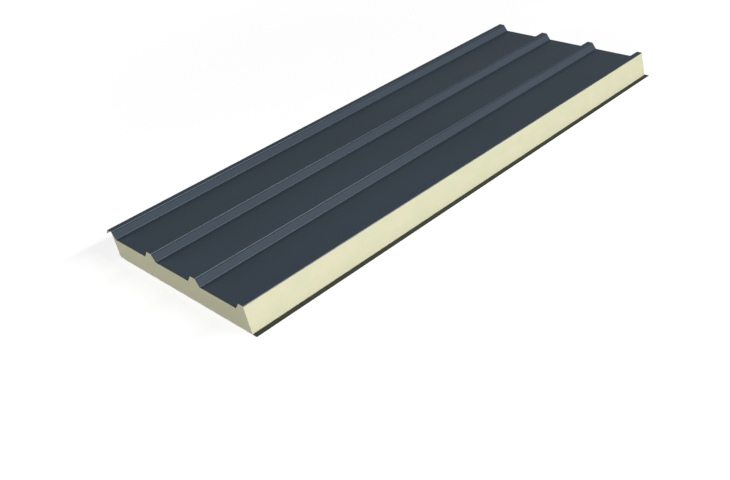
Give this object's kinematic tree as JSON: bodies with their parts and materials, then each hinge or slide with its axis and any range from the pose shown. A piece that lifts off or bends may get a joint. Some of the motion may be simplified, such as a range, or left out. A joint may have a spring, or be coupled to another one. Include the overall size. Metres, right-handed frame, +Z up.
{
  "type": "insulated sandwich panel",
  "caption": "Trapezoidal insulated roof panel: profiled coated steel sheet with an overlap wing, rigid foam core, lightly profiled steel liner and lapped side joint.",
  "frame": {"origin": "middle of the panel's full width and length, on the liner's underside", "axes": "+X across the panel towards the bare foam side and its liner lip, +Y along the panel's length, +Z up from the liner to the rib crowns"},
  "size_m": [1.1042, 3, 0.135],
  "materials": {
    "outer_coating": "satin anthracite coil coating",
    "foam": "pale cream rigid foam, bare at the sides and sawn at the ends",
    "liner_coating": "satin grey coil coating",
    "gasket": "matt closed-cell foam strip"
  },
  "bodies": {
    "root": {"outer_sheet": "outer_coating", "foam_core": "foam", "inner_sheet": "liner_coating", "joint_gasket": "gasket"}
  },
  "joints": []
}
